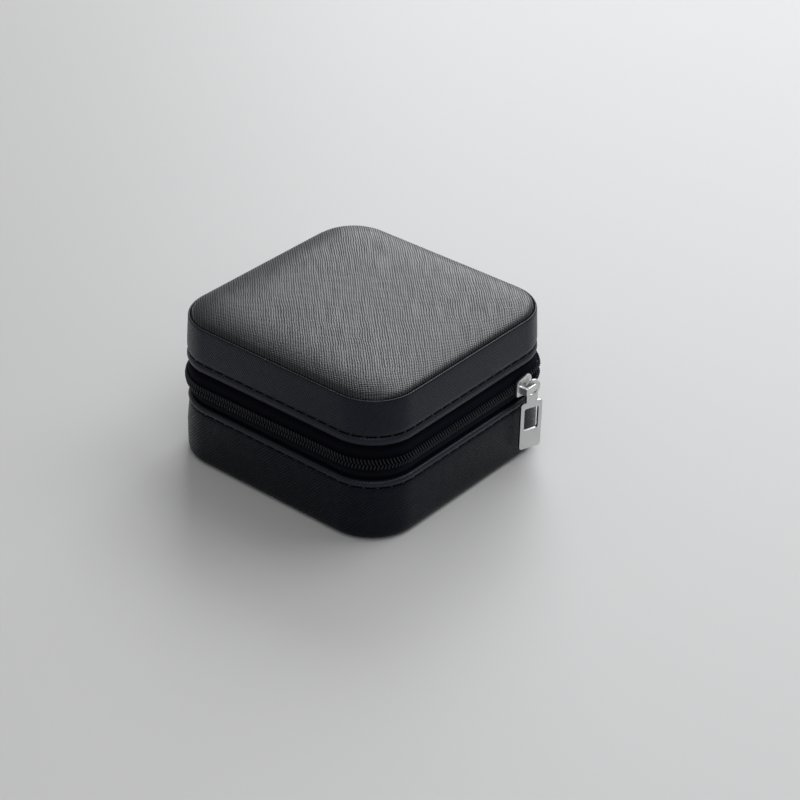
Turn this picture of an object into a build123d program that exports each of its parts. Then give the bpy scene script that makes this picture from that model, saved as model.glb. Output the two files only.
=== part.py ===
"""Zip-around travel jewellery box: a lower tray and a lid of leather-wrapped board, joined at the back by a sewn
leather strip and closed by a coil zip with a metal slider and pull.

Millimetres. The origin is the middle of the underside, +Z is up, the front is -Y and the slider runs on the +X side.
Places across a wall are written as an inset: how far a face lies inside the outer face of the leather band.
"""
from build123d import *

import os
from math import asin

# Outer form
box_width = 100.0
box_depth = 100.0
corner_radius = 18.0
base_height = 25.4
zip_gap = 14.6
lid_band_height = 18.0

# Leather bands
band_thickness = 1.0
band_edge_round = 0.4
base_edge_round = 2.0
hem_thickness = 1.0
hem_width = 12.0
stitch_from_edge = 2.8
stitch_groove_width = 0.9
stitch_groove_depth = 0.35

# Rigid frames and boards
frame_wall = 2.0
zip_rebate = 1.0
rim_gap = 0.6
board_thickness = 2.0
bottom_panel_thickness = 1.0
bottom_panel_inset = 5.0
fit_gap = 0.1

# Padded top
pad_recess = 3.0
pad_edge_height = 1.7
cover_thickness = 0.8
crown_rise = 3.35
crown_flat_width = 50.0
crown_flat_depth = 50.0
crown_inset_shares = (0.0, 0.012, 0.034, 0.084, 0.19, 0.335, 0.585, 1.0)
crown_rise_shares = (0.0, 0.25, 0.4, 0.575, 0.715, 0.84, 0.945, 1.0)

# Lining and mirror
lining_thickness = 1.2
lining_below_rim = 0.5
mirror_width = 64.0
mirror_radius = 6.0
mirror_thickness = 1.6

# Ring rolls and compartments
ring_roll_count = 7
ring_roll_length = 37.5
ring_roll_height = 18.5
ring_roll_gap = 0.5
ring_roll_end_share = 0.9
lining_gap = 0.3
partition_thickness = 2.4
partition_height = 21.0
divider_count = 2
divider_thickness = 2.4
divider_height = 15.0
divider_gap = 0.3
divider_floor_gap = 0.2

# Zip
tape_thickness = 0.5
seat_gap = 0.05
tooth_pitch = 1.25
tooth_width = 0.75
tooth_spine = 0.45
tooth_depth = 0.9
tooth_row_height = 2.4
tooth_row_gap = 0.8

# Hinge strip at the back
strip_width = 61.0
strip_thickness = 0.9
strip_end_gap = 0.3

# Slider
slider_length = 8.5
slider_height = 8.4
slider_tail_height = 6.2
slider_corner = 1.2
lobe_radius = 2.6
slider_back_height = 7.6
slider_back_thickness = 0.6
slider_front_thickness = 0.9
slider_running_gap = 0.25
slider_tape_gap = 0.4
slider_from_back = 20.75
post_length = 3.0
post_thickness = 0.4
post_from_nose = 0.7
flange_thickness = 0.8
flange_tape_gap = 0.3
bridge_width = 2.7
bridge_thickness = 0.8
bridge_leg_length = 1.1
bridge_from_tail = 0.9
bridge_end_reach = 1.0
pivot_radius = 0.85
pivot_from_middle = 1.95

# Pull
pull_thickness = 1.0
pull_inner_gap = 1.2
pull_outer_gap = 0.7
pull_turn = 20.0
pull_from_pivot = 0.4
pull_width = 9.1
pull_body_length = 19.9
pull_corner = 1.2
pull_neck_width = 4.7
pull_neck_length = 6.8
eye_rim = 1.4
eye_gap = 0.25
eye_hole_width = 3.6
eye_hole_height = 4.7
eye_hole_corner = 1.6
window_width = 6.1
window_height = 9.3
window_corner = 0.8
window_from_shoulder = 2.5

# Cuts run past the faces that they open by this much
overrun = 5.0

# Levels and insets that follow from the sizes above
hem_bottom = bottom_panel_thickness
hem_top = hem_bottom + hem_thickness
zip_level = base_height + zip_gap / 2
lid_bottom = base_height + zip_gap
lid_top = lid_bottom + lid_band_height
base_rim = zip_level - rim_gap / 2
lid_rim = zip_level + rim_gap / 2
board_top = lid_top - pad_recess
board_bottom = board_top - board_thickness
floor_top = hem_top + board_thickness
tray_floor = floor_top + lining_thickness
lid_ceiling = board_bottom - lining_thickness

frame_inset = band_thickness
rebate_inset = frame_inset + zip_rebate
lining_inset = frame_inset + frame_wall
room_inset = lining_inset + lining_thickness
slider_back_inset = rebate_inset - slider_running_gap
slider_inner_inset = slider_back_inset - slider_back_thickness
tape_inset = slider_inner_inset - slider_tape_gap
teeth_inset = tape_inset - tape_thickness - seat_gap
tooth_root_inset = teeth_inset - tooth_spine
tooth_tip_inset = tooth_root_inset - tooth_depth
slider_front_inset = tooth_tip_inset - slider_running_gap
slider_face_inset = slider_front_inset - slider_front_thickness
pull_inset = slider_face_inset - pull_inner_gap
pull_face_inset = pull_inset - pull_thickness
bridge_inset = pull_face_inset - pull_outer_gap
bridge_face_inset = bridge_inset - bridge_thickness
slider_place = box_depth / 2 - slider_from_back


def outline(inset):
    """The box's plan outline, that far inside the band's outer face."""
    return RectangleRounded(box_width - 2 * inset, box_depth - 2 * inset, corner_radius - inset)


def slab(inset, low, high):
    return Pos(0, 0, low) * extrude(outline(inset), amount=high - low)


def wall(outer_inset, inner_inset, low, high):
    return slab(outer_inset, low, high) - slab(inner_inset, low - overrun, high + overrun)


def block(x_range, y_range, z_range):
    """An upright box between two places on each axis."""
    size = [high - low for low, high in (x_range, y_range, z_range)]
    middle = [(high + low) / 2 for low, high in (x_range, y_range, z_range)]
    return Pos(*middle) * Box(*size)


def stitch_groove(level):
    """A shallow channel round a band, which the seam's thread lies in."""
    low = level - stitch_groove_width / 2
    return wall(-overrun, stitch_groove_depth, low, low + stitch_groove_width)


def edges_at(solid, level):
    return solid.edges().filter_by_position(Axis.Z, level, level)


# Lower tray


def base_band():
    """Leather wrapped round the tray, turned under as a hem and folded at the zip."""
    band = slab(0, hem_bottom, base_height)
    band = fillet(edges_at(band, hem_bottom), base_edge_round)
    band = fillet(edges_at(band, base_height), band_edge_round)
    band -= slab(frame_inset, hem_top, base_height + overrun)
    band -= slab(hem_width, hem_bottom - overrun, hem_top + overrun)
    return band - stitch_groove(base_height - stitch_from_edge)


def base_frame():
    """Rigid wall of the tray, thinned behind the zip so that the slider's back plate has room."""
    frame = wall(frame_inset, lining_inset, hem_top, base_rim)
    return frame - wall(frame_inset - overrun, rebate_inset, base_height, base_rim + overrun)


def floor_board():
    return slab(lining_inset + fit_gap, hem_top, floor_top)


def bottom_panel():
    return slab(bottom_panel_inset, 0, bottom_panel_thickness)


def base_lining():
    """Velvet-covered liner: a floor and a low wall inside the frame."""
    liner = slab(lining_inset + fit_gap, floor_top, base_rim - lining_below_rim)
    return liner - slab(room_inset, tray_floor, base_rim + overrun)


# Ring rolls, partition and loose dividers

room_half_width = box_width / 2 - room_inset
room_half_depth = box_depth / 2 - room_inset
ring_left = lining_gap - room_half_width
partition_left = ring_left + ring_roll_length + lining_gap
partition_right = partition_left + partition_thickness
ring_roll_pitch = (2 * room_half_depth - 2 * lining_gap + ring_roll_gap) / ring_roll_count
ring_roll_width = ring_roll_pitch - ring_roll_gap


def roll_section(x, share):
    """A roll's upright section: straight sides under a round top, drawn in by share at the ends."""
    radius = ring_roll_width * share / 2
    side = ring_roll_height * share - radius
    section = Pos(0, side / 2) * Rectangle(2 * radius, side) + Pos(0, side) * Circle(radius)
    section = make_face(section.face().outer_wire())
    return Plane(origin=(x, 0, tray_floor), x_dir=(0, 1, 0), z_dir=(1, 0, 0)) * section


def ring_roll(index):
    """One foam roll of the ring holder, cut to the tray's rounded corner where it meets it."""
    middle = ring_left + ring_roll_length / 2
    sections = [
        roll_section(ring_left, ring_roll_end_share),
        roll_section(middle, 1),
        roll_section(ring_left + ring_roll_length, ring_roll_end_share),
    ]
    offset = lining_gap - room_half_depth + ring_roll_width / 2 + index * ring_roll_pitch
    roll = Pos(0, offset, 0) * loft(sections)
    if index in (0, ring_roll_count - 1):
        roll &= slab(room_inset + lining_gap, tray_floor, tray_floor + ring_roll_height + overrun)
    return roll


def ring_partition():
    ends = room_half_depth - lining_gap
    return block(
        (partition_left, partition_right),
        (-ends, ends),
        (tray_floor, tray_floor + partition_height),
    )


def divider(index):
    """A loose board that stands across the compartments and lifts out."""
    middle = room_half_depth * (2 * (index + 1) / (divider_count + 1) - 1)
    low = tray_floor + divider_floor_gap
    return block(
        (partition_right + divider_gap, room_half_width - divider_gap),
        (middle - divider_thickness / 2, middle + divider_thickness / 2),
        (low, low + divider_height),
    )


# Lid


def lid_band():
    """Leather round the lid, folded at the zip and ending in a thin lip round the padded top."""
    band = slab(0, lid_bottom, lid_top)
    band = fillet(edges_at(band, lid_bottom) + edges_at(band, lid_top), band_edge_round)
    band -= slab(frame_inset, lid_bottom - overrun, lid_top + overrun)
    return band - stitch_groove(lid_bottom + stitch_from_edge)


def lid_frame():
    frame = wall(frame_inset, lining_inset, lid_rim, board_bottom)
    return frame - wall(frame_inset - overrun, rebate_inset, lid_rim - overrun, lid_bottom)


def lid_board():
    return slab(frame_inset + fit_gap, board_bottom, board_top)


def crowned(inset, edge_height):
    """A low cushion on the lid's board: upright sides under a crown that flattens towards the middle."""
    edge_width = box_width - 2 * inset
    edge_depth = box_depth - 2 * inset
    sections = [Pos(0, 0, board_top) * outline(inset)]
    for inset_share, rise_share in zip(crown_inset_shares, crown_rise_shares):
        width = edge_width - inset_share * (edge_width - crown_flat_width)
        depth = edge_depth - inset_share * (edge_depth - crown_flat_depth)
        level = board_top + edge_height + rise_share * crown_rise
        sections.append(Pos(0, 0, level) * RectangleRounded(width, depth, corner_radius - inset))
    return loft(sections, ruled=True)


def lid_pad():
    return crowned(frame_inset + fit_gap + cover_thickness, pad_edge_height)


def lid_top_cover():
    """Textured leather stretched over the pad, its edge set just below the band's lip."""
    return crowned(frame_inset + fit_gap, pad_edge_height + cover_thickness) - lid_pad()


def lid_lining():
    liner = slab(lining_inset + fit_gap, lid_rim + lining_below_rim, board_bottom)
    return liner - slab(room_inset, lid_rim - overrun, lid_ceiling)


def mirror():
    glass = extrude(RectangleRounded(mirror_width, mirror_width, mirror_radius), amount=mirror_thickness)
    return Pos(0, 0, lid_ceiling - mirror_thickness) * glass


# Zip tapes, teeth and the hinge strip


def zip_tape(low, high):
    """One woven tape round three sides and both back corners, open where the hinge strip is."""
    tape = wall(tape_inset - tape_thickness, tape_inset, low, high)
    ends = strip_width / 2 + strip_end_gap
    return tape - block((-ends, ends), (0, box_depth), (low - overrun, high + overrun))


def chain_line():
    """Right-hand half of the line that the roots of the teeth follow, from the middle of the back to the front's."""
    half_width = box_width / 2 - tooth_root_inset
    half_depth = box_depth / 2 - tooth_root_inset
    corners = [(0, half_depth), (half_width, half_depth), (half_width, -half_depth), (0, -half_depth)]
    return FilletPolyline(*corners, radius=corner_radius - tooth_root_inset)


def chain_place(line, along):
    """Point and outward direction at a distance along the whole chain, whose left half mirrors the right one."""
    side = 1 if along <= line.length else -1
    along = min(along, 2 * line.length - along)
    at = line.position_at(along, position_mode=PositionMode.LENGTH)
    outward = line.tangent_at(along, position_mode=PositionMode.LENGTH).rotate(Axis.Z, 90)
    return Vector(side * at.X, at.Y), Vector(side * outward.X, outward.Y)


def strip_end_along():
    """How far along the chain line the hinge strip ends, on the straight back or on round the corner."""
    end = strip_width / 2 + strip_end_gap
    straight = box_width / 2 - corner_radius
    radius = corner_radius - tooth_root_inset
    beyond = max(0, end - straight)
    return end - beyond + radius * asin(beyond / radius)


def zip_teeth(start, low):
    """One row of teeth on its spine, as an upright comb that follows the chain line."""
    line = chain_line()
    first = strip_end_along() + start
    count = int((2 * line.length - strip_end_along() - first) / tooth_pitch)
    comb = []
    spine = []
    for index in range(count):
        for along, sides in ((0, (0, tooth_depth)), (tooth_width, (tooth_depth, 0))):
            root, outward = chain_place(line, first + index * tooth_pitch + along)
            comb += [root + outward * side for side in sides]
        spine.append(root - outward * tooth_spine)
    spine.insert(0, comb[0] - (comb[1] - comb[0]).normalized() * tooth_spine)
    face = make_face(Polyline(*comb, *reversed(spine), close=True))
    return Pos(0, 0, low) * extrude(face, amount=tooth_row_height)


def hinge_strip():
    """Leather strip across the back, sewn to both halves, which bends when the lid opens."""
    half = strip_width / 2
    strip = wall(tape_inset - strip_thickness, tape_inset, base_height, lid_bottom)
    return strip & block((-half, half), (0, box_depth), (base_height, lid_bottom))


# Slider and pull


def out_from_side(inset):
    """The X place of a face on the right-hand side, from its inset."""
    return box_width / 2 - inset


def side_plate(sketch, inner_inset, outer_inset):
    """A flat piece that lies along the right-hand side, between two insets, with its sketch drawn in Y and Z."""
    plane = Plane(
        origin=(out_from_side(inner_inset), slider_place, zip_level),
        x_dir=(0, 1, 0),
        z_dir=(1, 0, 0),
    )
    return plane * extrude(sketch, amount=inner_inset - outer_inset)


def span(low, high, width):
    """A rectangle from low to high along the zip, centred across it."""
    return Pos((low + high) / 2, 0) * Rectangle(high - low, width)


def slider_shield():
    """The slider's outer plate in outline: two round lobes at the nose, and narrower towards the tail."""
    half = slider_length / 2
    nose = slider_height / 2
    tail = slider_tail_height / 2
    lobe_place = half - lobe_radius
    corners = [(-half, -tail), (lobe_place, -nose), (lobe_place, nose), (-half, tail)]
    shield = make_face(Polyline(*corners, close=True))
    shield = fillet(shield.vertices().group_by(Axis.X)[0], slider_corner)
    lobe = Circle(lobe_radius)
    return shield + Pos(lobe_place, nose - lobe_radius) * lobe + Pos(lobe_place, lobe_radius - nose) * lobe


def slider_body():
    """Slider: outer and inner plates joined by a thin post, a lower flange, and the bridge that holds the pull."""
    half = slider_length / 2
    front = side_plate(slider_shield(), slider_front_inset, slider_face_inset)
    back = side_plate(
        RectangleRounded(slider_length, slider_back_height, slider_corner), slider_back_inset, slider_inner_inset
    )
    nose = half - post_from_nose
    post = side_plate(span(nose - post_length, nose, post_thickness), slider_inner_inset, slider_front_inset)
    flange_sketch = Pos(half - lobe_radius, (flange_thickness - slider_height) / 2) * Rectangle(
        lobe_radius, flange_thickness
    )
    flange_sketch = flange_sketch & slider_shield()
    flange = side_plate(flange_sketch, tape_inset - tape_thickness - flange_tape_gap, slider_front_inset)
    tail = bridge_from_tail - half
    leg = side_plate(span(tail, tail + bridge_leg_length, bridge_width), slider_face_inset, bridge_face_inset)
    pivot = side_plate(Pos(pivot_from_middle, 0) * Circle(pivot_radius), slider_face_inset, bridge_face_inset)
    strap_end = Pos(pivot_from_middle, 0) * Ellipse(bridge_end_reach, bridge_width / 2)
    strap_sketch = span(tail, pivot_from_middle, bridge_width) + strap_end
    strap = side_plate(strap_sketch, bridge_inset, bridge_face_inset)
    return front + back + post + flange + leg + pivot + strap


def pull_tab():
    """Flat pull that hangs from the bridge's round leg by its eye, with a window in its body. It hangs a little askew:
    its rear edge stands further out than its front one."""
    eye_top = pivot_radius + eye_gap
    eye_middle = eye_top - eye_hole_height / 2
    head_radius = eye_hole_width / 2 + eye_rim
    neck_top = eye_top + eye_rim - head_radius
    head = Pos(0, neck_top) * Circle(head_radius)
    neck = Pos(0, (neck_top - pull_neck_length) / 2) * Rectangle(pull_neck_width, neck_top + pull_neck_length)
    body = Pos(0, -pull_neck_length - pull_body_length / 2) * RectangleRounded(
        pull_width, pull_body_length, pull_corner
    )
    hole = Pos(0, eye_middle) * RectangleRounded(eye_hole_width, eye_hole_height, eye_hole_corner)
    window = Pos(0, -pull_neck_length - window_from_shoulder - window_height / 2) * RectangleRounded(
        window_width, window_height, window_corner
    )
    sketch = Pos(pivot_from_middle + pull_from_pivot, 0) * (head + neck + body - hole - window)
    flat = side_plate(sketch, pull_inset, pull_face_inset)
    middle = (out_from_side((pull_inset + pull_face_inset) / 2), slider_place + pivot_from_middle, 0)
    return flat.rotate(Axis(middle, (0, 0, 1)), -pull_turn)


def pieces():
    """Every piece of the box by its node's name."""
    upper_row = zip_level + tooth_row_gap / 2
    lower_row = zip_level - tooth_row_gap / 2 - tooth_row_height
    made = {
        "base_band": base_band(),
        "base_frame": base_frame(),
        "floor_board": floor_board(),
        "bottom_panel": bottom_panel(),
        "base_lining": base_lining(),
        "ring_partition": ring_partition(),
        "lid_band": lid_band(),
        "lid_frame": lid_frame(),
        "lid_board": lid_board(),
        "lid_pad": lid_pad(),
        "lid_top_cover": lid_top_cover(),
        "lid_lining": lid_lining(),
        "mirror": mirror(),
        "lower_zip_tape": zip_tape(base_height, zip_level - tooth_row_gap / 2),
        "upper_zip_tape": zip_tape(zip_level + tooth_row_gap / 2, lid_bottom),
        "lower_zip_teeth": zip_teeth(0, lower_row),
        "upper_zip_teeth": zip_teeth(tooth_pitch / 2, upper_row),
        "hinge_strip": hinge_strip(),
        "slider_body": slider_body(),
        "pull_tab": pull_tab(),
    }
    for index in range(ring_roll_count):
        made[f"ring_roll_{index + 1}"] = ring_roll(index)
    for index in range(divider_count):
        made[f"divider_{index + 1}"] = divider(index)
    return made


def main():
    os.makedirs("parts", exist_ok=True)
    for name, piece in pieces().items():
        export_step(piece, f"parts/{name}.step")
        print(name, len(piece.solids()), round(piece.volume))
    print("hinge axis y", round(box_depth / 2 - tooth_tip_inset, 3), "z", round(zip_level, 3))
    print("pull axis y", round(slider_place + pivot_from_middle, 3), "z", round(zip_level, 3))


main()
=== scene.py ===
# %% [markdown]
# # A zip-around travel jewellery box
#
# The box is a tray and a lid of leather-wrapped board. A leather strip joins them at the back, and a coil zip closes
# the other three sides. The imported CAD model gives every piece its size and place. This lesson gives each piece its
# looks: the hatched leather, the folded and stitched edges, the zip's tape and teeth, the metal slider and the velvet
# inside.

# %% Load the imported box
import math

import bpy
from mathutils import Matrix, Vector


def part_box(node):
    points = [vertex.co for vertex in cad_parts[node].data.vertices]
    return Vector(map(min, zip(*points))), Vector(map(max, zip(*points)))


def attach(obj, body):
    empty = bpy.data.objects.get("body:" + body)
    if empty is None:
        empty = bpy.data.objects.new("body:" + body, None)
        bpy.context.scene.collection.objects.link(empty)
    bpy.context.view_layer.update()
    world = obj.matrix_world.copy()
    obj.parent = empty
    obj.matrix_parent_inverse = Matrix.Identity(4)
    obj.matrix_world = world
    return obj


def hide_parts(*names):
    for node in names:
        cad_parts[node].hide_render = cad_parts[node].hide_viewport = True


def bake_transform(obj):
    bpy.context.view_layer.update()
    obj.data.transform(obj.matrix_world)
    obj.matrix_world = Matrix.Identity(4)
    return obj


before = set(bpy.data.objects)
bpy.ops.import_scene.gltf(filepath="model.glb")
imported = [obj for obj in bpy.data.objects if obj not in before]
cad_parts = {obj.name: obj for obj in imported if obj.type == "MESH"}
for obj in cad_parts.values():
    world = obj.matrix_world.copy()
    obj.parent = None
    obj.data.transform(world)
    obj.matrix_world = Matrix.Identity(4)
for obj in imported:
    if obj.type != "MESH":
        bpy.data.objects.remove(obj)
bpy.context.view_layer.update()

mm = 0.001

# %% [markdown]
# ## Sizes
#
# Nearly every size can be read from the CAD nodes' boxes, so nothing has to be fitted by eye. Only the outline's
# corner radius isn't a box's side, so it has a value of its own.

# %% Read the box's main sizes
lid_low, lid_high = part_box("lid_band")
_, tray_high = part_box("base_band")
half_side = lid_high.x
lid_edge = lid_low.z
lid_top = lid_high.z
tray_edge = tray_high.z
zip_level = (lid_edge + tray_edge) / 2
corner_radius = 18 * mm
straight = half_side - corner_radius
corner_arc = corner_radius * math.pi / 2
half_round = 4 * straight + 2 * corner_arc
print("zip level", round(zip_level / mm, 2), "mm, way round the box", round(2 * half_round / mm, 1), "mm")

# %% [markdown]
# ## Camera
#
# The photograph looks down on a front corner with a long lens, from the slider's side. The camera's place was found
# by fitting the box's edges, and its shift puts the box a little left of the middle, where the photograph has it.

# %% Place the camera
view_azimuth = math.radians(40.347)
view_elevation = math.radians(31.983)
view_roll = math.radians(0.628)
view_distance = 845.43 * mm
view_target = Vector((0, 0, 25 * mm))
focal_length = 103.13
view_shift = (0.0471, -0.01818)

towards_camera = Vector((
    math.sin(view_azimuth) * math.cos(view_elevation),
    -math.cos(view_azimuth) * math.cos(view_elevation),
    math.sin(view_elevation),
))
level_right = Vector((math.cos(view_azimuth), math.sin(view_azimuth), 0))
level_up = towards_camera.cross(level_right)
camera_right = level_right * math.cos(view_roll) + level_up * math.sin(view_roll)
camera_up = level_up * math.cos(view_roll) - level_right * math.sin(view_roll)

bpy.ops.object.select_all(action="DESELECT")
bpy.ops.object.camera_add(location=view_target + towards_camera * view_distance)
camera = bpy.context.active_object
camera.rotation_euler = Matrix((camera_right, camera_up, towards_camera)).transposed().to_euler()
camera.data.lens = focal_length
camera.data.shift_x, camera.data.shift_y = view_shift
bpy.context.scene.camera = camera
print("camera at", [round(c, 3) for c in camera.location])

# %% [markdown]
# ## Floor and light
#
# A plain pale floor runs back out of sight. A large soft lamp behind the box makes the padded top shine, as a window
# would, a second one on the right throws the soft shadow to the left, and a weaker one in front keeps the bands from
# going black. All are far larger than the box, so no edge of a shadow is sharp. Their white is a little cool.

# %% Lay the floor and hang the lamps
floor_size = 8
cool_white = (0.965, 0.985, 1)
world_white = (0.98, 0.985, 1, 1)
world_strength = 0.28
bpy.context.scene.view_settings.view_transform = "Standard"

bpy.ops.object.select_all(action="DESELECT")
bpy.ops.mesh.primitive_plane_add(size=floor_size)
floor = bpy.context.active_object
floor.name = "floor"

view_away = Vector((-towards_camera.x, -towards_camera.y, 0)).normalized()


def soft_lamp(name, right, away, up, size, power):
    """A square soft lamp at a place given from the box, aimed at the box."""
    place = level_right * right + view_away * away + Vector((0, 0, up))
    bpy.ops.object.select_all(action="DESELECT")
    bpy.ops.object.light_add(type="AREA", location=place)
    lamp = bpy.context.active_object
    lamp.name = name
    lamp.data.size = size
    lamp.data.energy = power
    lamp.data.color = cool_white
    lamp.rotation_euler = (view_target - place).to_track_quat("-Z", "Y").to_euler()
    return lamp


soft_lamp("back_lamp", 0.32, 1.25, 0.8, 1.0, 11.1)
soft_lamp("side_lamp", 0.9, 0.4, 1.3, 1.2, 10.5)
soft_lamp("front_lamp", 0.2, -1.3, 1.5, 1.6, 8)

world = bpy.data.worlds.new("studio")
bpy.context.scene.world = world
world.use_nodes = True
sky = world.node_tree.nodes["Background"].inputs
sky["Color"].default_value = world_white
sky["Strength"].default_value = world_strength
print("three lamps over a floor of", floor_size, "m")

# %% [markdown]
# ## Writing materials as sums
#
# A material is a small sum: lines here, less shine there. Joining Math nodes by hand hides the sum, so a small class
# wraps a node's socket, and Python's own signs then add the nodes. Every other node comes from one method, which takes
# the node's kind, its settings and what its sockets hold.


# %% Make the material helpers
class Shade:
    """A value inside a material. Signs such as + and * add Math nodes to it."""

    def __init__(self, paint, socket):
        self.paint = paint
        self.socket = socket

    def maths(self, operation, *others):
        inputs = dict(enumerate((self, *others)))
        return self.paint.node("ShaderNodeMath", {"operation": operation}, inputs)

    def __add__(self, other):
        return self.maths("ADD", other)

    def __mul__(self, other):
        return self.maths("MULTIPLY", other)

    def __sub__(self, other):
        return self.maths("SUBTRACT", other)

    def __rsub__(self, other):
        return self.maths("MULTIPLY_ADD", -1, other)

    __radd__ = __add__
    __rmul__ = __mul__


class Paint:
    """One material: a Principled shader and the nodes that feed it."""

    def __init__(self, name, **constants):
        self.material = bpy.data.materials.new(name)
        self.material.use_nodes = True
        self.tree = self.material.node_tree
        self.shader = self.tree.nodes["Principled BSDF"]
        for socket, value in constants.items():
            self.shader.inputs[socket.replace("_", " ")].default_value = value

    def node(self, kind, settings=None, inputs=None, output=0):
        """Adds a node of a kind, with its settings and its sockets' values or links, and wraps one of its outputs."""
        made = self.tree.nodes.new(kind)
        settings = dict(settings or {})
        for place, (position, colour) in enumerate(settings.pop("stops", ())):
            stops = made.color_ramp.elements
            stop = stops[place] if place < len(stops) else stops.new(position)
            stop.position = position
            stop.color = colour
        for setting, value in settings.items():
            setattr(made, setting, value)
        for socket, value in (inputs or {}).items():
            if isinstance(value, Shade):
                self.tree.links.new(value.socket, made.inputs[socket])
            else:
                made.inputs[socket].default_value = value
        return Shade(self, made.outputs[output])

    def feed(self, socket, shade):
        self.tree.links.new(shade.socket, self.shader.inputs[socket])

    def place(self, output="Object"):
        """Coordinates to lay a pattern by: the object's own, or its UV map's."""
        return self.node("ShaderNodeTexCoord", output=output)

    def parts_of(self, vector):
        """The three numbers of a vector."""
        split = self.node("ShaderNodeSeparateXYZ", inputs={"Vector": vector})
        return [Shade(self, socket) for socket in split.socket.node.outputs]

    def noise(self, vector, scale, detail=2.0):
        inputs = {"Vector": vector, "Scale": scale, "Detail": detail}
        return self.node("ShaderNodeTexNoise", inputs=inputs)

    def blend(self, amount, low, high):
        """A colour between two colours."""
        stops = [(0, (*low, 1)), (1, (*high, 1))]
        return self.node("ShaderNodeValToRGB", {"stops": stops}, {"Fac": amount})

    def limit(self, amount):
        """A value kept between 0 and 1."""
        return self.node("ShaderNodeClamp", inputs={"Value": amount})

    def raise_by(self, height, depth, strength=1.0):
        """Lets a height pattern, from 0 to 1, stand out of the surface by a depth in metres."""
        inputs = {"Height": height, "Distance": depth, "Strength": strength}
        self.feed("Normal", self.node("ShaderNodeBump", inputs=inputs))


print("materials can be written as sums")

# %% [markdown]
# ## Hatched leather
#
# The leather is pressed with two sets of fine ridges that cross on the diagonal. They are too fine to model, so they
# are a height pattern: a saw wave along each diagonal, swayed by noise, so that no line is quite straight. A second
# noise, stretched along the lines, breaks them into runs, as a worn press does. The ridges are waxed and catch the
# light, so the same pattern also sets the shine, and it paints the colour lighter on the ridges and darker in the
# grooves: a painted highlight and painted shade. On the flat panels the pattern lies on the object's own coordinates.
# On the bands it follows a map that unrolls them, with a wider pitch, shorter runs and wax on the tops of the ridges
# alone.

# %% Mix the leathers
panel_pitch, band_pitch = 0.85 * mm, 0.95 * mm
panel_run, band_run = 16 * mm, 5 * mm
panel_tint, band_tint = (0.93, 0.96, 1, 1), (0.7, 0.73, 1, 1)
panel_waxed_from, band_waxed_from = 0.36, 0.52
wax_gain = 3.3
slow_sway, quick_sway = 60, 260
grain_scale = 420


def ridge_set(paint, place, pitch, run, angle):
    """Height, from 0 to 1, of one set of ridges that lies across the given direction."""
    size = {"Rotation": (0, 0, angle), "Scale": (pitch, run, 1)}
    laid = paint.node("ShaderNodeMapping", {"vector_type": "TEXTURE"}, {"Vector": place, **size})
    across, _, _ = paint.parts_of(laid)
    sway = paint.noise(place, slow_sway) * 2.0 + paint.noise(place, quick_sway) * 1.0
    runs = paint.noise(laid, 1, 3)
    lines = (across + sway).maths("PINGPONG", 0.5) * 2
    return paint.limit(lines * 1.1 + runs * 1.0 - 0.55)


def hatched_leather(name, dark, light, coordinates, gloss, dullness, wax, first_share, depth):
    """Leather with a pressed hatch, waxed on its ridges. coordinates is Object for a flat panel and UV for a band.
    first_share is how much of the colour the stronger set of ridges makes."""
    if coordinates == "UV":
        tint, pitch, run, waxed_from = band_tint, band_pitch, band_run, band_waxed_from
    else:
        tint, pitch, run, waxed_from = panel_tint, panel_pitch, panel_run, panel_waxed_from
    paint = Paint(name, Specular_IOR_Level=gloss, Specular_Tint=tint, Coat_Roughness=dullness)
    place = paint.place(coordinates)
    grain = paint.noise(place, grain_scale, 3)
    first = ridge_set(paint, place, pitch, run, math.pi / 4)
    second = ridge_set(paint, place, pitch, run, -math.pi / 4)
    ridges = first * first_share + second * (1 - first_share)
    # The colour is painted lighter on the ridges and darker in the grooves: painted highlight and painted shade.
    paint.feed("Base Color", paint.blend(ridges * 0.85 + grain * 0.3 - 0.08, dark, light))
    paint.feed("Roughness", dullness + (1 - ridges) * 0.16 + (grain - 0.5) * 0.1)
    paint.feed("Coat Weight", paint.limit((ridges - waxed_from) * wax_gain) * wax)
    paint.raise_by(first * 0.4 + second * 0.85 + grain * 0.15, depth)
    return paint.material


def grey(level, blue=0.0):
    """A dark grey, with a share more blue than red."""
    return (level, level * (1 + blue / 4), level * (1 + blue))


# A lighter, greyer copy of the bands' leather, for the padded top: painted light.
panel_leather = hatched_leather(
    "panel_leather", grey(0.001, 0.2), grey(0.016, 0.15), "Object", 0.3, 0.31, 1.0, 0.72, 0.16 * mm
)
lid_leather = hatched_leather(
    "lid_leather", grey(0.0006, 0.9), grey(0.0085, 0.7), "UV", 0.26, 0.27, 0.2, 0.7, 0.08 * mm
)
# The tray's band gets a darker, bluer copy of the lid band's leather: painted shade on the lower band.
tray_leather_painted_shade = hatched_leather(
    "tray_leather_painted_shade", grey(0.0004, 1.2), grey(0.0062, 1.0), "UV", 0.11, 0.24, 0.26, 0.7, 0.08 * mm
)
# A lighter copy of the band leather for the folds at the zip: a painted highlight where the fold catches the light.
fold_leather_painted_highlight = hatched_leather(
    "fold_leather_painted_highlight", grey(0.003, 0.4), grey(0.011, 0.4), "UV", 0.37, 0.32, 0.15, 0.6, 0.05 * mm
)
# A lighter, shinier copy of the band leather for the lid's crest: a painted highlight along its top.
crest_leather_painted_highlight = hatched_leather("crest_leather_painted_highlight", grey(0.01), grey(0.04), "UV", 0.5, 0.4, 0.4, 0.5, 0.05 * mm)
print("leathers:", panel_leather.name, lid_leather.name, tray_leather_painted_shade.name)

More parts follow.
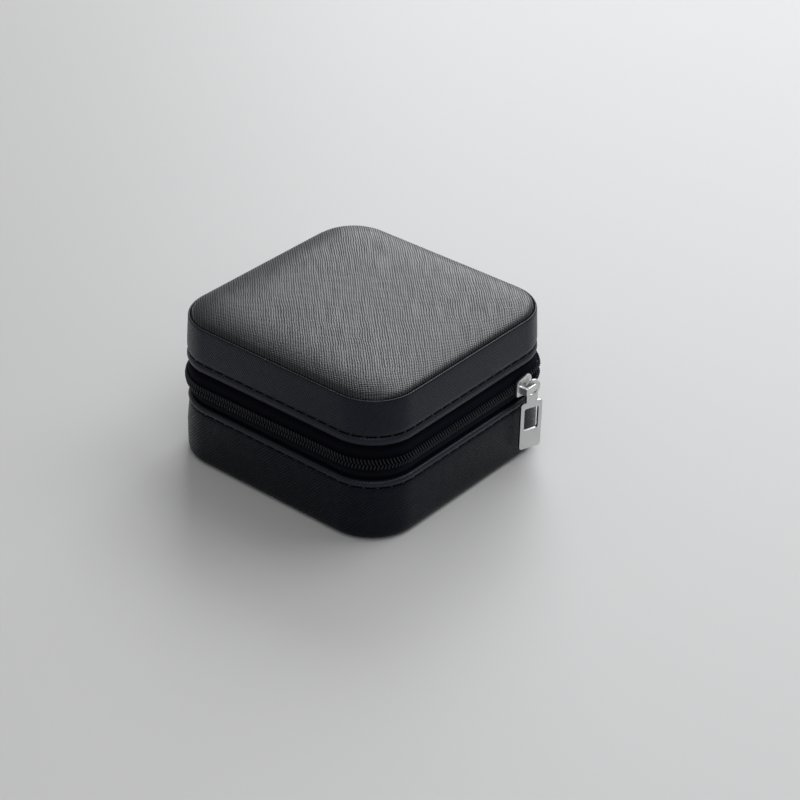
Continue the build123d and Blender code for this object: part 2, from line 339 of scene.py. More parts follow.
# %% [markdown]
# ## The other finishes
#
# The zip's tape is a close weave, its teeth are nylon, and the slider and pull are plated metal, brushed and then
# dulled a little. Inside, velvet is a soft speckle whose sheen brightens towards its edges. The sheen is a single
# number, so it is set on the shader itself.

# %% Mix the zip's finishes
weave_pitch = 0.42 * mm
# How far the tape's colour is painted dark beside the teeth and under the lip's edge: painted shade.
teeth_shade_reach, teeth_shade_fade = 2.4 * mm, 1.5 * mm
lip_shade_fade = 2.5 * mm
twist_pitch = 0.5 * mm


def woven_tape():
    paint = Paint(
        "woven_tape", Specular_IOR_Level=0.06, Sheen_Weight=0.03, Sheen_Tint=(0.45, 0.5, 1, 1)
    )
    place = paint.place("UV")
    across, along, _ = paint.parts_of(place)
    thread = ((across + along) * (1 / weave_pitch)).maths("PINGPONG", 0.5) * 2
    rib = (along * (1 / weave_pitch)).maths("PINGPONG", 0.5) * 2
    fuzz = paint.noise(place, 900, 2)
    from_middle = (along - zip_level).maths("ABSOLUTE")
    # Painted shade: the tape's colour darkens next to the teeth and towards the lip's edge.
    unshaded_by_teeth = paint.limit((from_middle - teeth_shade_reach) * (1 / teeth_shade_fade))
    unshaded_by_lip = paint.limit((lid_edge - zip_level - from_middle) * (1 / lip_shade_fade))
    height = thread * 0.5 + rib * 0.3 + fuzz * 0.2
    shaded_weave_tone = height * unshaded_by_teeth * unshaded_by_lip
    paint.feed("Base Color", paint.blend(shaded_weave_tone, (0.0006, 0.0006, 0.0016), (0.0034, 0.0034, 0.0075)))
    paint.feed("Roughness", 0.7 + fuzz * 0.25)
    paint.raise_by(height, 0.05 * mm)
    return paint.material


def coil_nylon():
    paint = Paint("coil_nylon", Specular_IOR_Level=0.34, Specular_Tint=(0.78, 0.84, 1, 1))
    place = paint.place()
    drawn = paint.noise(place, 700, 2)
    patch = paint.noise(place, 90, 2)
    paint.feed("Base Color", paint.blend(patch, (0.0035, 0.0035, 0.005), (0.014, 0.014, 0.018)))
    paint.feed("Roughness", 0.3 + drawn * 0.2)
    paint.raise_by(drawn, 0.02 * mm)
    return paint.material


def seam_thread():
    paint = Paint("seam_thread", Specular_IOR_Level=0.02)
    place = paint.place()
    x, y, z = paint.parts_of(place)
    twist = ((x + y + z * 1.5) * (1 / twist_pitch)).maths("PINGPONG", 0.5) * 2
    paint.feed("Base Color", paint.blend(twist, (0.0004, 0.0004, 0.0006), (0.0022, 0.0022, 0.003)))
    paint.feed("Roughness", 0.55 + twist * 0.25)
    paint.raise_by(twist, 0.06 * mm)
    return paint.material


def satin_nickel():
    paint = Paint("satin_nickel", Metallic=1.0)
    place = paint.place()
    drawn_out = paint.node("ShaderNodeMapping", inputs={"Vector": place, "Scale": (1, 1, 0.06)})
    brushed = paint.noise(drawn_out, 5200, 3)
    cloud = paint.noise(place, 160, 3)
    paint.feed("Base Color", paint.blend(cloud, (0.64, 0.64, 0.645), (0.8, 0.8, 0.79)))
    paint.feed("Roughness", 0.27 + brushed * 0.12 + (cloud - 0.5) * 0.12)
    paint.raise_by(brushed, 0.012 * mm)
    return paint.material


tape_finish = woven_tape()
teeth_finish = coil_nylon()
thread_finish = seam_thread()
metal_finish = satin_nickel()

# %% Mix the finishes inside


def velvet():
    paint = Paint("velvet", Specular_IOR_Level=0.15, Sheen_Weight=0.55, Sheen_Roughness=0.4)
    place = paint.place()
    pile = paint.noise(place, 2200, 3)
    brushed = paint.noise(place, 75, 3)
    shade = pile * 0.55 + brushed * 0.45
    paint.feed("Base Color", paint.blend(shade, (0.012, 0.012, 0.014), (0.055, 0.055, 0.06)))
    paint.feed("Roughness", 0.8 + pile * 0.2)
    paint.raise_by(pile * 0.7 + brushed * 0.6, 0.15 * mm)
    return paint.material


def moulded_plastic():
    paint = Paint("moulded_plastic", Specular_IOR_Level=0.4)
    place = paint.place()
    grain = paint.noise(place, 1500, 2)
    flow = paint.noise(place, 40, 3)
    paint.feed("Base Color", paint.blend(flow, (0.009, 0.009, 0.01), (0.02, 0.02, 0.021)))
    paint.feed("Roughness", 0.5 + grain * 0.2)
    paint.raise_by(grain, 0.03 * mm)
    return paint.material


def pressed_board():
    paint = Paint("pressed_board", Specular_IOR_Level=0.2)
    place = paint.place()
    fibre = paint.noise(place, 600, 4)
    fleck = paint.noise(place, 120, 2)
    paint.feed("Base Color", paint.blend(fibre * 0.6 + fleck * 0.4, (0.13, 0.1, 0.07), (0.34, 0.28, 0.2)))
    paint.feed("Roughness", 0.8 + fibre * 0.15)
    paint.raise_by(fibre, 0.05 * mm)
    return paint.material


def silvered_glass():
    paint = Paint("silvered_glass", Metallic=1.0)
    place = paint.place()
    smear = paint.noise(place, 55, 4)
    paint.feed("Base Color", paint.blend(smear, (0.8, 0.82, 0.82), (0.88, 0.9, 0.9)))
    paint.feed("Roughness", 0.015 + smear * 0.03)
    return paint.material


def pale_floor():
    paint = Paint("pale_floor", Specular_IOR_Level=0.35)
    place = paint.place()
    cloud = paint.noise(place, 1.6, 2)
    paint.feed("Base Color", paint.blend(cloud, (0.6, 0.592, 0.588), (0.68, 0.67, 0.665)))
    paint.feed("Roughness", 0.4 + cloud * 0.1)
    return paint.material


velvet_finish = velvet()
plastic_finish = moulded_plastic()
board_finish = pressed_board()
mirror_finish = silvered_glass()
floor.data.materials.append(pale_floor())
print("materials:", len(bpy.data.materials))

# %% [markdown]
# ## Round and round the box
#
# The bands and tapes are one profile led round a square with rounded corners. They could be a cube with bevelled
# edges, but then the folded lip and the stitch channel would need many cuts. Drawing the profile point by point and
# then extruding it along each side and spinning it round each corner gives all of that at once.

# %% Draw a profile and lead it round the box
corner_steps = 16
weld = 0.001 * mm


def into_edit(select=True):
    bpy.ops.object.mode_set(mode="EDIT")
    bpy.context.tool_settings.mesh_select_mode = (True, False, False)
    bpy.ops.mesh.select_all(action="SELECT" if select else "DESELECT")


def select_points(piece, test):
    """Selects the vertices that pass a test, in edit mode."""
    bpy.ops.object.mode_set(mode="EDIT")
    bpy.context.tool_settings.mesh_select_mode = (True, False, False)
    bpy.ops.mesh.select_all(action="DESELECT")
    bpy.ops.object.mode_set(mode="OBJECT")
    for vertex in piece.data.vertices:
        vertex.select = test(vertex.co)
    bpy.ops.object.mode_set(mode="EDIT")


def new_piece(name):
    """Names the object that an operator has just added and puts its place into its mesh."""
    bpy.ops.object.transform_apply(location=True, rotation=True, scale=True)
    piece = bpy.context.active_object
    piece.name = name
    piece.data.name = name
    return piece


def draw_loop(name, points):
    """A closed line of vertices, extruded point by point from one vertex. It leaves edit mode on, all selected."""
    bpy.ops.object.select_all(action="DESELECT")
    bpy.ops.mesh.primitive_plane_add(size=weld, location=points[0])
    piece = new_piece(name)
    into_edit()
    bpy.ops.mesh.merge(type="CENTER")
    for here, there in zip(points, points[1:]):
        bpy.ops.mesh.extrude_vertices_move(TRANSFORM_OT_translate={"value": there - here})
    ends = [points[0], points[-1]]
    select_points(piece, lambda at: any((at - end).length < weld for end in ends))
    bpy.ops.mesh.edge_face_add()
    bpy.ops.mesh.select_all(action="SELECT")
    return piece


def push(move):
    bpy.ops.mesh.extrude_region_move(TRANSFORM_OT_translate={"value": move})


def close_up(fill=False):
    """Welds doubles, closes open ends if asked, points the faces outwards and leaves edit mode."""
    bpy.ops.mesh.select_all(action="SELECT")
    bpy.ops.mesh.remove_doubles(threshold=weld)
    if fill:
        bpy.ops.mesh.fill_holes(sides=0)
    bpy.ops.mesh.normals_make_consistent(inside=False)
    bpy.ops.object.mode_set(mode="OBJECT")


def lead_round(name, profile, gap=0.0):
    """Leads a closed profile of (out, height) points round the box, clockwise from the middle of the back.
    gap is how far from the middle of the back it starts and stops."""
    points = [Vector((gap, half_side + out, height)) for out, height in profile]
    piece = draw_loop(name, points)
    sides = (
        ((straight - gap, 0, 0), (straight, straight)),
        ((0, -2 * straight, 0), (straight, -straight)),
        ((-2 * straight, 0, 0), (-straight, -straight)),
        ((0, 2 * straight, 0), (-straight, straight)),
    )
    for run, (x, y) in sides:
        push(run)
        bpy.ops.mesh.spin(steps=corner_steps, angle=math.pi / 2, center=(x, y, 0), axis=(0, 0, 1))
    push((straight - gap, 0, 0))
    close_up(fill=gap > 0)
    return piece


# %% Unroll a band, so that a pattern can follow it


def way_along(x, y):
    """Distance along the right half of the outline, from the middle of the back, of the point nearest to (x, y)."""
    x = abs(x)
    if x <= straight:
        return x if y > 0 else half_round - x
    if y > straight:
        return straight + corner_radius * math.atan2(x - straight, y - straight)
    if y < -straight:
        return 3 * straight + corner_arc + corner_radius * math.atan2(-straight - y, x - straight)
    return 2 * straight + corner_arc - y


def unroll(piece):
    """A UV map in metres: the distance round the box, and the distance up the piece's profile. The blank map that came
    with the primitive is removed first, because a finish reads the first map."""
    maps = piece.data.uv_layers
    while maps:
        maps.remove(maps[0])
    layer = maps.new(name="unrolled")
    for face in piece.data.polygons:
        across_the_back = abs(face.center.x) < straight / 2 and face.center.y > 0
        left_start = 0 if across_the_back else 2 * half_round
        level = abs(face.normal.z) > 0.8
        for corner in face.loop_indices:
            at = piece.data.vertices[piece.data.loops[corner].vertex_index].co
            along = way_along(at.x, at.y)
            depth = max(abs(at.x), abs(at.y))
            height = depth if level else at.z
            layer.data[corner].uv = (left_start - along if at.x < 0 else along, height)


def dress(piece, finish, body):
    """Gives a piece its finish and the body that it moves with."""
    piece.data.materials.clear()
    piece.data.materials.append(finish)
    if body:
        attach(piece, body)
    return piece


def smooth(piece, angle=40):
    bpy.ops.object.select_all(action="DESELECT")
    piece.select_set(True)
    bpy.context.view_layer.objects.active = piece
    bpy.ops.object.shade_smooth_by_angle(angle=math.radians(angle))


print("way round at the front's middle:", round(way_along(0, -half_side) / mm, 1), "mm")

# %% [markdown]
# ## The leather bands
#
# Each half is wrapped in a band of leather. At the zip its edge is folded back and stitched, so the fold puffs up
# between the edge and the thread, and the thread lies in a channel. At the top, the lid's band ends in a thin lip
# round the padded panel. At the foot, the tray's band turns under in a soft curve. Low down the tray's leather is
# slack: it is a little fuller there, and lies over to the back.

# %% Make the two bands
band_wall = 0.95 * mm
seam_inset = 2.8 * mm
lid_fold, tray_fold = 1.28, 1.0
foot_level = 0.9 * mm
hem_level = 2 * mm
hem_reach = 8 * mm
lip_curve = (
    (-0.95, 0.55),
    (-0.85, 0.15),
    (-0.5, -0.02),
    (0, 0.06),
    (0.45, 0.35),
    (0.72, 0.8),
    (0.82, 1.3),
    (0.76, 1.8),
    (0.56, 2.2),
    (0.3, 2.46),
    (0.14, 2.64),
    (0.1, 2.8),
    (0.14, 2.98),
    (0.3, 3.24),
    (0.48, 3.7),
    (0.58, 4.4),
)
crest_curve = (
    (0.62, -12.4),
    (0.5, -9),
    (0.3, -5.5),
    (0.1, -2.5),
    (-0.02, -0.75),
    (-0.1, -0.4),
    (-0.26, -0.14),
    (-0.48, 0),
    (-0.7, -0.1),
    (-0.86, -0.35),
    (-0.95, -0.9),
)
side_curve = (
    (0.75, 17),
    (0.9, 13),
    (0.95, 9),
    (0.95, 5.5),
    (0.93, 3.6),
    (0.85, 2.6),
    (0.62, 1.7),
    (0.1, 1.15),
    (-0.9, 0.95),
)
crest_depth = 0.2 * mm
full_from, full_to = 20 * mm, 15 * mm
fuller_by = (0.008, 0.0165)
leaning_by = (-0.6 * mm, 1.1 * mm)
fold_height = 3 * mm


def folded_lip(edge, reach):
    """The puffed fold from a band's inner side, round its edge and on to the stitch channel and the face. reach is 1
    for a fold as tall as the curve, and less than 0 for one that goes down."""
    return [(out * mm, edge + reach * rise * mm) for out, rise in lip_curve]


def lid_band_profile():
    crest = [(out * mm, lid_top + rise * mm) for out, rise in crest_curve]
    return folded_lip(lid_edge, lid_fold) + crest + [(-band_wall, lid_top - 3 * mm)]


def tray_band_profile():
    """From the lip down the slightly full side, round the foot and in under the tray as a hem."""
    side = [(out * mm, height * mm) for out, height in side_curve]
    hem = [(-2.4 * mm, foot_level), (-hem_reach, foot_level), (-hem_reach, hem_level), (-band_wall, hem_level)]
    return folded_lip(tray_edge, -tray_fold) + side + hem


lid_band = lead_round("lid_leather_band", lid_band_profile())
tray_band = lead_round("tray_leather_band", tray_band_profile())
for vertex in tray_band.data.vertices:
    share = min(1, max(0, (full_from - vertex.co.z) / (full_from - full_to)))
    for axis in (0, 1):
        vertex.co[axis] += share * (vertex.co[axis] * fuller_by[axis] + leaning_by[axis])
for band, finish, body, node in (
    (lid_band, lid_leather, "lid", "lid_band"),
    (tray_band, tray_leather_painted_shade, "tray", "base_band"),
):
    unroll(band)
    smooth(band, 60)
    dress(band, finish, body)
    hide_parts(node)
    print(band.name, len(band.data.polygons), "faces")
    # The folds at the zip get the lighter copy of the leather, a painted highlight.
    band.data.materials.append(fold_leather_painted_highlight)
    # The lid's crest gets the lighter, shinier copy, also a painted highlight.
    band.data.materials.append(crest_leather_painted_highlight)
    for face in band.data.polygons:
        if abs(face.center.z - zip_level) < lid_edge - zip_level + fold_height:
            face.material_index = 1
        if face.center.z > lid_top - crest_depth:
            face.material_index = 2

# %% [markdown]
# ## The stitches
#
# Each seam is a row of short stitches, sunk at both ends where the thread goes through the leather. One stitch is a
# cube with its edges bevelled and its ends pushed in. It is copied along the channel, each copy with a mesh of its
# own, and the copies are joined into one seam.

# %% Sew the two seams
stitch_length = 3.9 * mm
stitch_pitch = 4.9 * mm
stitch_thickness = 0.85 * mm
stitch_out = 0.2 * mm
stitch_tilt = 0.05
stitch_sink = 0.15 * mm


def outline_place(along):
    """A point of the box's outline, clockwise from the middle of the back, and the direction outwards there."""
    side = 1 if along <= half_round else -1
    along = min(along, 2 * half_round - along)
    if along < straight:
        angle, at = math.pi / 2, Vector((along, half_side, 0))
    elif along < straight + corner_arc:
        angle = math.pi / 2 - (along - straight) / corner_radius
        at = Vector((straight, straight, 0)) + corner_radius * Vector((math.cos(angle), math.sin(angle), 0))
    elif along < 3 * straight + corner_arc:
        angle, at = 0, Vector((half_side, 2 * straight + corner_arc - along, 0))
    elif along < 3 * straight + 2 * corner_arc:
        angle = -(along - 3 * straight - corner_arc) / corner_radius
        at = Vector((straight, -straight, 0)) + corner_radius * Vector((math.cos(angle), math.sin(angle), 0))
    else:
        angle, at = -math.pi / 2, Vector((half_round - along, -half_side, 0))
    out = Vector((math.cos(angle), math.sin(angle), 0))
    return Vector((side * at.x, at.y, 0)), Vector((side * out.x, out.y, 0))


def rounded_bar(name, along, up, out, rounding):
    """A bar with its edges bevelled: x runs along the zip, y outwards and z up."""
    bpy.ops.object.select_all(action="DESELECT")
    bpy.ops.mesh.primitive_cube_add(size=1)
    bpy.context.active_object.scale = (along, out, up)
    bar = new_piece(name)
    into_edit()
    bpy.ops.mesh.bevel(offset=rounding, segments=1, affect="EDGES")
    bpy.ops.object.mode_set(mode="OBJECT")
    return bar


def copy_along(master, name, stations):
    """Copies a piece to each (distance along, out, height, tilt) and joins the copies into one new piece."""
    bpy.ops.object.select_all(action="DESELECT")
    copies = []
    for along, out, height, tilt in stations:
        at, outward = outline_place(along)
        onward = outward.cross(Vector((0, 0, 1)))
        turn = Matrix((onward, outward, Vector((0, 0, 1)))).transposed().to_4x4()
        place = Matrix.Translation(at + outward * out + Vector((0, 0, height)))
        copy = master.copy()
        copy.data = master.data.copy()
        copy.data.transform(place @ turn @ Matrix.Rotation(tilt, 4, "Y"))
        bpy.context.scene.collection.objects.link(copy)
        copy.select_set(True)
        copies.append(copy)
    bpy.context.view_layer.objects.active = copies[0]
    bpy.ops.object.join()
    joined = bpy.context.active_object
    joined.name = name
    joined.data.name = name
    return joined


stitch = rounded_bar("stitch", stitch_length, stitch_thickness, stitch_thickness, stitch_thickness * 0.3)
select_points(stitch, lambda at: abs(at.x) > stitch_length * 0.4)
bpy.ops.transform.resize(value=(1, 0.6, 0.75))
bpy.ops.transform.translate(value=(0, -stitch_sink, 0))
bpy.ops.object.mode_set(mode="OBJECT")

stitch_count = round(2 * half_round / stitch_pitch)
for name, height, body in (
    ("upper_seam", lid_edge + seam_inset * lid_fold, "lid"),
    ("lower_seam", tray_edge - seam_inset * tray_fold, "tray"),
):
    step = 2 * half_round / stitch_count
    places = [((turn + 0.5) * step, stitch_out, height, stitch_tilt) for turn in range(stitch_count)]
    seam = copy_along(stitch, name, places)
    smooth(seam, 50)
    dress(seam, thread_finish, body)
    print(seam.name, stitch_count, "stitches")
bpy.data.objects.remove(stitch)

# %% [markdown]
# ## The zip
#
# Each half carries a woven tape, tucked behind the folded edge and bulging slightly over the gap, with a row of nylon
# turns along its rim. From outside each turn looks like a short leaning bar. The two rows lean against each other
# where the zip is closed, with a thin dark line between them, and they part behind the slider.

# %% Weave the tapes
tape_wall = 0.4 * mm
strip_low, strip_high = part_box("hinge_strip")
zip_end = strip_high.x + 0.4 * mm
slider_low, slider_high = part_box("slider_body")
slider_nose = way_along(half_side, slider_high.y - 4 * mm)
slider_tail = way_along(half_side, slider_low.y)
parted_by = 1.35 * mm
slider_rear = way_along(half_side, slider_high.y)
pushed_out = 1.2 * mm
push_run = 9 * mm
loose_by = 0.5 * mm
loose_run = 34 * mm
loose_from = half_round - loose_run
bulge_fade = 20 * mm
rim_from = 4 * mm
tape_curve = (
    (-0.6, 0.9),
    (-0.6, 0.25),
    (-1.1, -0.15),
    (-1.35, -0.6),
    (-1.15, -1.1),
    (-0.65, -1.7),
    (-0.25, -2.3),
    (-0.05, -3),
    (0.02, -3.8),
    (0.05, -4.6),
    (0.1, -5.4),
    (0.1, -6.9),
)


def parted(along):
    """How far the zip is parted at a place, from 0 in front of the slider to 1 behind it."""
    return min(1, max(0, (slider_tail - along) / (slider_tail - slider_nose)))


def swell(along):
    """How far the zip bulges outwards: where it is parted behind the slider, and loosely on the left, dying away
    towards the hinge strip."""
    parted_share = min(1, max(0, (slider_rear - along) / push_run))
    loose_share = min(1, max(0, (along - loose_from) / loose_run))
    from_strip = min(along, 2 * half_round - along) - zip_end
    return (pushed_out * parted_share + loose_by * loose_share) * min(1, max(0, from_strip / bulge_fade))


def tape_profile(edge, upwards):
    outer = [(out * mm, edge + upwards * rise * mm) for out, rise in tape_curve]
    inner = [(out - tape_wall, height) for out, height in reversed(outer)]
    return outer + inner


def bulge_tape(tape, edge):
    """Pushes the tape outwards where the zip is parted, more towards its rim."""
    for vertex in tape.data.vertices:
        along = way_along(vertex.co.x, vertex.co.y)
        if vertex.co.x < 0:
            along = 2 * half_round - along
        _, outward = outline_place(along)
        vertex.co += outward * swell(along) * min(1, abs(vertex.co.z - edge) / rim_from)


for name, edge, upwards, body, node in (
    ("upper_tape", lid_edge, 1, "lid", "upper_zip_tape"),
    ("lower_tape", tray_edge, -1, "tray", "lower_zip_tape"),
):
    tape = lead_round(name, tape_profile(edge, upwards), gap=zip_end)
    unroll(tape)
    bulge_tape(tape, edge)
    smooth(tape, 60)
    dress(tape, tape_finish, body)
    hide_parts(node)
    print(tape.name, len(tape.data.polygons), "faces")

# %% Set the teeth
tooth_pitch = 1.25 * mm
tooth_width = 0.52 * mm
tooth_length = 2.1 * mm
tooth_gap = 0.05 * mm
tooth_out = 1.15 * mm
upper_lean, lower_lean = math.radians(24), math.radians(-14)
chain_out = 0.15 * mm
head_slope = 0.3 * mm

tooth = rounded_bar("tooth", tooth_width, tooth_length, tooth_out, tooth_width * 0.32)
select_points(tooth, lambda at: at.z > tooth_length * 0.3 and at.y > 0)
bpy.ops.transform.translate(value=(0, -head_slope, 0))
bpy.ops.object.mode_set(mode="OBJECT")
tooth_count = int((2 * half_round - 2 * zip_end) / tooth_pitch)
for name, upwards, lean, start, body, node in (
    ("upper_teeth", 1, upper_lean, 0.0, "lid", "upper_zip_teeth"),
    ("lower_teeth", -1, lower_lean, tooth_pitch / 2, "tray", "lower_zip_teeth"),
):
    stations = []
    for turn in range(tooth_count):
        along = zip_end + start + turn * tooth_pitch
        middle = tooth_length / 2 * math.cos(lean) + tooth_gap + parted_by * parted(along)
        out = tooth_out / 2 + chain_out + swell(along)
        stations.append((along, out, zip_level + upwards * middle, lean))
    if upwards < 0:
        tooth.data.transform(Matrix.Rotation(math.pi, 4, "Y"))
    row = copy_along(tooth, name, stations)
    smooth(row, 50)
    dress(row, teeth_finish, body)
    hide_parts(node)
    print(row.name, tooth_count, "teeth")
bpy.data.objects.remove(tooth)

# %% [markdown]
# ## The hinge strip
#
# At the back a strip of the same leather joins the halves. It has to bend when the lid opens, so it needs rows of
# faces across the bend. Its ends overlap the tapes'.

# %% Bend the strip across the back
strip_rows = 24
strip_wall = 0.8 * mm
strip_tuck = 0.5 * mm
strip_set_in, strip_bulge = 0.45 * mm, 0.55 * mm
strip_overlap = 0.9 * mm


def strip_profile():
    outer = []
    for row in range(strip_rows + 1):
        share = row / strip_rows
        height = tray_edge - strip_tuck + (lid_edge - tray_edge + 2 * strip_tuck) * share
        out = -strip_set_in + strip_bulge * math.sin(math.pi * share) ** 0.7
        outer.append((out, height))
    inner = [(out - strip_wall, height) for out, height in reversed(outer)]
    return [Vector((strip_low.x - strip_overlap, half_side + out, height)) for out, height in outer + inner]


hinge = draw_loop("hinge_leather", strip_profile())
push((strip_high.x - strip_low.x + 2 * strip_overlap, 0, 0))
close_up(fill=True)
unroll(hinge)
smooth(hinge, 60)
dress(hinge, lid_leather, None)
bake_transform(hinge)
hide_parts("hinge_strip")
print(hinge.name, len(hinge.data.polygons), "faces")

# %% [markdown]
# ## The padded top
#
# Leather is stretched over a thin foam pad and tucked inside the lid's lip. A grid gives even faces for cloth. Its
# corners are drawn in to the rounded outline, its height follows the foam's crown, and a short cloth simulation with
# its border pinned lets the leather settle the way a stretched skin does. The border is then extruded down to the
# board.

# %% Shape the pad's leather
cover_low, cover_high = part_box("lid_top_cover")
cover_half = cover_high.x
cover_radius = corner_radius - (half_side - cover_half)
cover_straight = cover_half - cover_radius
roll_rise, roll_reach = 1.4 * mm, 2.0 * mm
swell_rise, swell_reach = 2.8 * mm, 5.8 * mm
cover_edge = lid_top - 0.5 * mm
cover_cells = 96
edge_crowding = 1.5
pinned_rim = 0.5 * mm
halvings = 30


def inside_by(x, y):
    """How far a point lies inside the cover's rounded outline."""
    over_x = max(abs(x) - cover_straight, 0)
    over_y = max(abs(y) - cover_straight, 0)
    if over_x == 0 or over_y == 0:
        return cover_half - max(abs(x), abs(y))
    return cover_radius - math.hypot(over_x, over_y)


def drawn_in(x, y):
    """A point of the square moved towards the middle, so that the square's border falls on the rounded outline."""
    largest = max(abs(x), abs(y))
    if largest == 0:
        return x, y
    edge_x, edge_y = x / largest * cover_half, y / largest * cover_half
    over_x = max(abs(edge_x) - cover_straight, 0)
    over_y = max(abs(edge_y) - cover_straight, 0)
    if over_x == 0 or over_y == 0:
        return x, y
    low, high = 0.5, 1.0
    for _ in range(halvings):
        share = (low + high) / 2
        if inside_by(edge_x * share, edge_y * share) > 0:
            low = share
        else:
            high = share
    return x * low, y * low


def crown(inside):
    """Height of the padded top over its edge: a quick roll over the foam's rim, then a slow swell."""
    left = 1 - min(1, inside / roll_reach)
    return roll_rise * math.sqrt(1 - left**2) + swell_rise * (1 - math.exp(-inside / swell_reach))


bpy.ops.object.select_all(action="DESELECT")
bpy.ops.mesh.primitive_grid_add(x_subdivisions=cover_cells, y_subdivisions=cover_cells, size=2 * cover_half)
cover = new_piece("padded_top")
border = cover.vertex_groups.new(name="border")
for vertex in cover.data.vertices:
    x, y, _ = vertex.co
    from_edge = 1 - max(abs(x), abs(y)) / cover_half
    crowd = (1 - from_edge**edge_crowding) / (1 - from_edge) if from_edge < 1 else 1
    x, y = drawn_in(x * crowd, y * crowd)
    inside = max(0, inside_by(x, y))
    vertex.co = (x, y, cover_edge + crown(inside))
    if inside < pinned_rim:
        border.add([vertex.index], 1, "REPLACE")


def settle(piece, pinned, frames, pressure, most):
    """Runs a short cloth simulation and keeps its result, with no point moved further than most."""
    before = [vertex.co.copy() for vertex in piece.data.vertices]
    bpy.ops.object.select_all(action="DESELECT")
    piece.select_set(True)
    bpy.context.view_layer.objects.active = piece
    bpy.ops.object.modifier_add(type="CLOTH")
    cloth = piece.modifiers[-1]
    cloth.settings.quality = 5
    cloth.settings.mass = 0.15
    cloth.settings.tension_stiffness = 40
    cloth.settings.compression_stiffness = 40
    cloth.settings.bending_stiffness = 4
    cloth.settings.use_pressure = True
    cloth.settings.uniform_pressure_force = pressure
    cloth.settings.effector_weights.gravity = 0
    if pinned:
        cloth.settings.vertex_group_mass = pinned
    scene = bpy.context.scene
    cloth.point_cache.frame_start, cloth.point_cache.frame_end = 1, frames
    for moment in range(1, frames + 1):
        scene.frame_set(moment)
    bpy.ops.object.modifier_apply(modifier=cloth.name)
    scene.frame_set(1)
    moved = 0
    for vertex, old in zip(piece.data.vertices, before):
        step = vertex.co - old
        if step.length > most:
            vertex.co = old + step * (most / step.length)
        moved = max(moved, (vertex.co - old).length)
    print(piece.name, "settled by", round(moved / mm, 2), "mm at most")


settle(cover, "border", 14, 0.6, 0.25 * mm)
into_edit()
bpy.ops.mesh.select_mode(type="EDGE")
bpy.ops.mesh.select_all(action="DESELECT")
bpy.ops.mesh.select_non_manifold()
push((0, 0, cover_low.z - cover_edge))
bpy.ops.mesh.edge_face_add()
close_up()
smooth(cover, 50)
dress(cover, panel_leather, "lid")
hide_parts("lid_top_cover", "lid_pad")
print("padded top rises to", round(max(v.co.z for v in cover.data.vertices) / mm, 2), "mm")

# %% [markdown]
# ## Slider and pull
#
# The slider and its pull are small castings. Their CAD solids have the right shape but knife-sharp edges, and metal is
# read by the light along its edges. A copy of each solid is welded, freed of its extra edges and bevelled.

# %% Round the slider's and the pull's edges


def softened(node, name, width, segments=2):
    """A copy of a CAD node with welded faces and bevelled edges."""
    bpy.ops.object.select_all(action="DESELECT")
    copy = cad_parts[node].copy()
    copy.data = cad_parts[node].data.copy()
    copy.parent = None
    for key in list(copy.keys()):
        del copy[key]
    copy.name = name
    copy.data.name = name
    bpy.context.scene.collection.objects.link(copy)
    copy.select_set(True)
    bpy.context.view_layer.objects.active = copy
    into_edit()
    bpy.ops.mesh.remove_doubles(threshold=weld)
    bpy.ops.mesh.dissolve_limited(angle_limit=math.radians(2))
    bpy.ops.object.mode_set(mode="OBJECT")
    bpy.ops.object.modifier_add(type="BEVEL")
    bevel = copy.modifiers[-1]
    bevel.width = width
    bevel.segments = segments
    bevel.limit_method = "ANGLE"
    bevel.angle_limit = math.radians(40)
    bpy.ops.object.modifier_apply(modifier=bevel.name)
    smooth(copy, 35)
    return copy


slider = softened("slider_body", "slider", 0.28 * mm, 3)
dress(slider, metal_finish, "slider")
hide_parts("slider_body")
pull = softened("pull_tab", "pull", 0.18 * mm)
dress(pull, metal_finish, "pull")
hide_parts("pull_tab")
print(slider.name, len(slider.data.polygons), "faces,", pull.name, len(pull.data.polygons), "faces")

# %% [markdown]
# ## Ring rolls
#
# The ring holder is a row of foam rolls in velvet, pressed side by side so that a ring's band can be pushed between
# them. One roll is drawn as an arch, extruded along its length, remeshed into even faces and plumped with cloth
# under a little pressure. The others are copies, and the two end ones are drawn in where the tray's corner is round.

# %% Plump one roll and copy it
roll_names = [f"ring_roll_{place}" for place in range(1, 8)]
first_low, first_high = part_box(roll_names[1])
roll_half = (first_high.y - first_low.y) / 2
roll_side = first_high.z - first_low.z - roll_half
roll_inset = 0.25 * mm
wall_depth = 4.5 * mm
room_half = half_side - wall_depth
room_radius = corner_radius - wall_depth
arch_steps = 14
voxel = 0.9 * mm


def roll_profile(x, low):
    reach = roll_half - roll_inset
    points = [Vector((x, reach, low)), Vector((x, reach, low + roll_side * 0.5))]
    for step in range(arch_steps + 1):
        turn = math.pi * step / arch_steps
        points.append(Vector((x, reach * math.cos(turn), low + roll_side + (reach - roll_inset) * math.sin(turn))))
    points += [Vector((x, -reach, low + roll_side * 0.5)), Vector((x, -reach, low))]
    return points


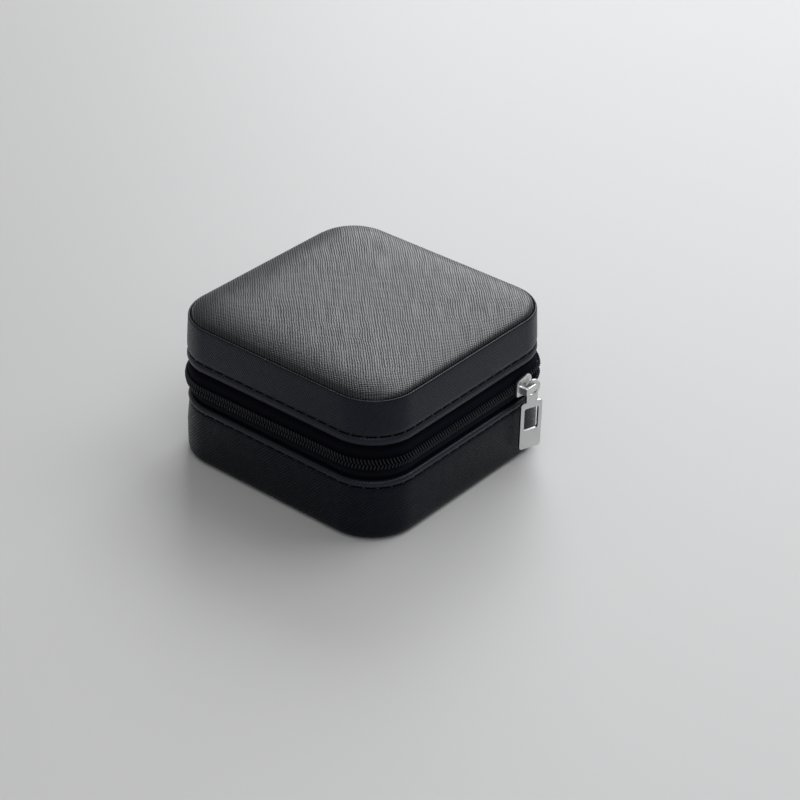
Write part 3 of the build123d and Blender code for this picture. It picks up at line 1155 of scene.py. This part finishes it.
roll = draw_loop("roll", roll_profile(first_low.x + roll_inset, first_low.z + roll_inset))
push((first_high.x - first_low.x - 2 * roll_inset, 0, 0))
close_up(fill=True)
bpy.ops.object.modifier_add(type="REMESH")
roll.modifiers[-1].mode = "VOXEL"
roll.modifiers[-1].voxel_size = voxel
bpy.ops.object.modifier_apply(modifier=roll.modifiers[-1].name)
settle(roll, "", 10, 1.5, 0.3 * mm)
bpy.ops.object.select_all(action="DESELECT")
roll.select_set(True)
bpy.context.view_layer.objects.active = roll
bpy.ops.object.modifier_add(type="SMOOTH")
roll.modifiers[-1].iterations = 4
bpy.ops.object.modifier_apply(modifier=roll.modifiers[-1].name)


def keep_in_corner(at):
    """A point moved back inside the tray's rounded corner, if it lies outside it."""
    middle = room_half - room_radius
    over = Vector((max(abs(at.x) - middle, 0), max(abs(at.y) - middle, 0)))
    if over.x == 0 or over.y == 0 or over.length <= room_radius:
        return at
    over *= room_radius / over.length
    return Vector((math.copysign(middle + over.x, at.x), math.copysign(middle + over.y, at.y), at.z))


for node in roll_names:
    low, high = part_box(node)
    ring_roll = roll.copy()
    ring_roll.data = roll.data.copy()
    ring_roll.name = f"velvet_{node}"
    ring_roll.data.name = ring_roll.name
    bpy.context.scene.collection.objects.link(ring_roll)
    ring_roll.data.transform(Matrix.Translation((0, (low.y + high.y) / 2, 0)))
    for vertex in ring_roll.data.vertices:
        vertex.co = keep_in_corner(vertex.co)
    smooth(ring_roll, 70)
    dress(ring_roll, velvet_finish, "tray")
    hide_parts(node)
bpy.data.objects.remove(roll)
print(len(roll_names), "rolls")

# %% [markdown]
# ## The rigid pieces
#
# The frames, boards, linings, partition, dividers, mirror and bottom panel have their right shape in CAD. They keep it
# and only get their finishes.

# %% Finish the CAD pieces that stay
finishes = {
    "base_frame": plastic_finish,
    "lid_frame": plastic_finish,
    "floor_board": board_finish,
    "lid_board": board_finish,
    "base_lining": velvet_finish,
    "lid_lining": velvet_finish,
    "ring_partition": velvet_finish,
    "divider_1": velvet_finish,
    "divider_2": velvet_finish,
    "mirror": mirror_finish,
    "bottom_panel": panel_leather,
}
for node, finish in finishes.items():
    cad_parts[node].data.materials.clear()
    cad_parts[node].data.materials.append(finish)
print(len(finishes), "CAD pieces finished")
